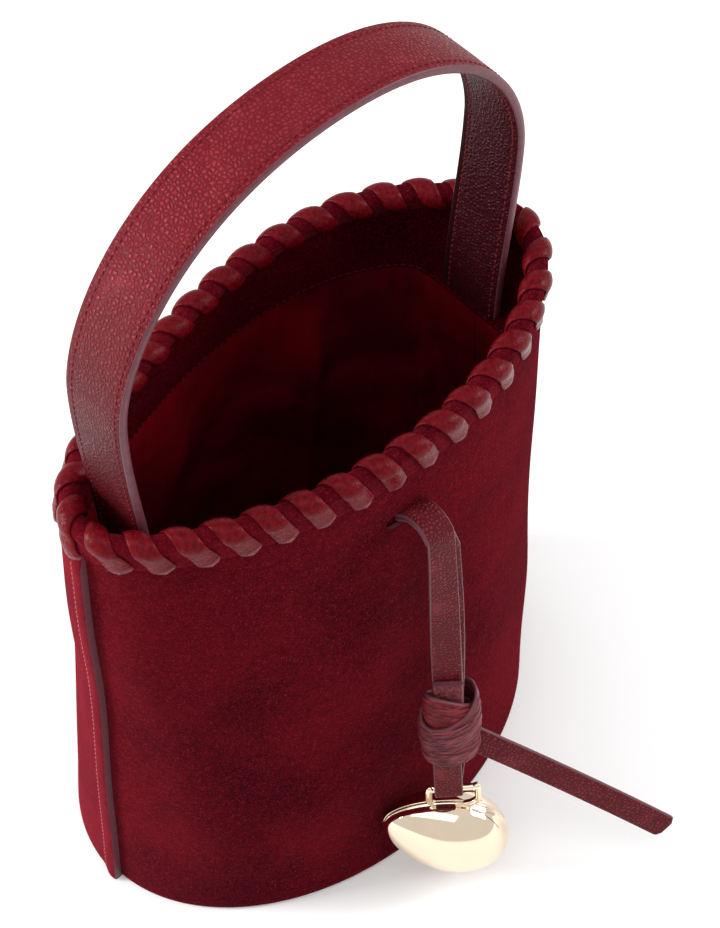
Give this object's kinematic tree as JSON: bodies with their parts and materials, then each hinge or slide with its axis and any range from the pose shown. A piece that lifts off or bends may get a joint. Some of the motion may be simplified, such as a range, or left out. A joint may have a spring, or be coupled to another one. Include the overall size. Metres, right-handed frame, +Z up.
{
  "type": "bucket bag",
  "caption": "Suede bucket bag with an oval base, whipstitched open mouth, leather top handle, and a knotted strap charm with a polished pebble hanging on the front.",
  "frame": {"origin": "middle of the base's underside, on the surface the bag stands on", "axes": "+Z up, -Y towards the charm on the front, +X towards the bag's own left side seam"},
  "size_m": [0.2209, 0.2271, 0.3852],
  "materials": {
    "suede": "brushed nap",
    "facing_suede": "brushed nap",
    "lining": "soft napped fabric",
    "board": "plain",
    "cord": "twisted",
    "lace_leather": "smooth pebbled",
    "handle_leather": "pebbled",
    "strap_leather": "pebbled",
    "thread": "waxed thread",
    "gold": "polished, pale gold plate"
  },
  "bodies": {
    "bag": {"front_panel": "suede", "back_panel": "suede", "base_panel": "suede", "base_board": "board", "lining_base": "lining", "lining_front": "lining", "lining_back": "lining", "facing_front": "facing_suede", "facing_back": "facing_suede", "facing_thread_front": "thread", "facing_thread_back": "thread", "seam_thread_left": "thread", "seam_thread_right": "thread", "rim_roll": "suede", "rim_cord": "cord", "rim_lace_front": "lace_leather", "rim_lace_back": "lace_leather", "handle_tab_left": "handle_leather", "handle_tab_right": "handle_leather", "tab_thread_left": "thread", "tab_thread_right": "thread", "charm_arch": "strap_leather"},
    "handle": {"handle_outer": "handle_leather", "handle_inner": "handle_leather", "handle_core": "board", "handle_thread_front": "thread", "handle_thread_back": "thread"},
    "strap_link": {"charm_link": "strap_leather"},
    "charm": {"charm_strap_front": "strap_leather", "charm_strap_back": "strap_leather", "charm_tuck": "strap_leather", "knot_turn_top": "strap_leather", "knot_turn_middle": "strap_leather", "knot_turn_bottom": "strap_leather", "charm_loop": "strap_leather"},
    "tail": {"charm_tail": "strap_leather"},
    "pebble": {"charm_bail": "gold", "pebble_front_shell": "gold", "pebble_back_shell": "gold"}
  },
  "joints": [
    {"name": "handle_tilt", "type": "hinge", "parent": "bag", "child": "handle", "pos_m": [0, 0, 0.264], "axis": [1, 0, 0], "range_deg": [-60, 60], "stiffness_Nm_per_rad": 0.12},
    {"name": "charm_swing", "type": "hinge", "parent": "bag", "child": "strap_link", "pos_m": [0, -0.07, 0.211], "axis": [-0.9997, 0.0029, 0.026], "range_deg": [0, 100]},
    {"name": "charm_sway", "type": "hinge", "parent": "strap_link", "child": "charm", "pos_m": [-0.00047, -0.07201, 0.19312], "axis": [0, 0.9938, -0.1115], "range_deg": [-25, 25]},
    {"name": "tail_bend", "type": "hinge", "parent": "charm", "child": "tail", "pos_m": [0.01067, -0.08916, 0.08503], "axis": [0.6499, -0.2106, 0.7303], "range_deg": [-35, 35], "stiffness_Nm_per_rad": 0.01},
    {"name": "pebble_swing", "type": "hinge", "parent": "charm", "child": "pebble", "pos_m": [-0.00398, -0.08694, 0.06], "axis": [-0.7658, 0.641, -0.0517], "range_deg": [0, 75]}
  ]
}
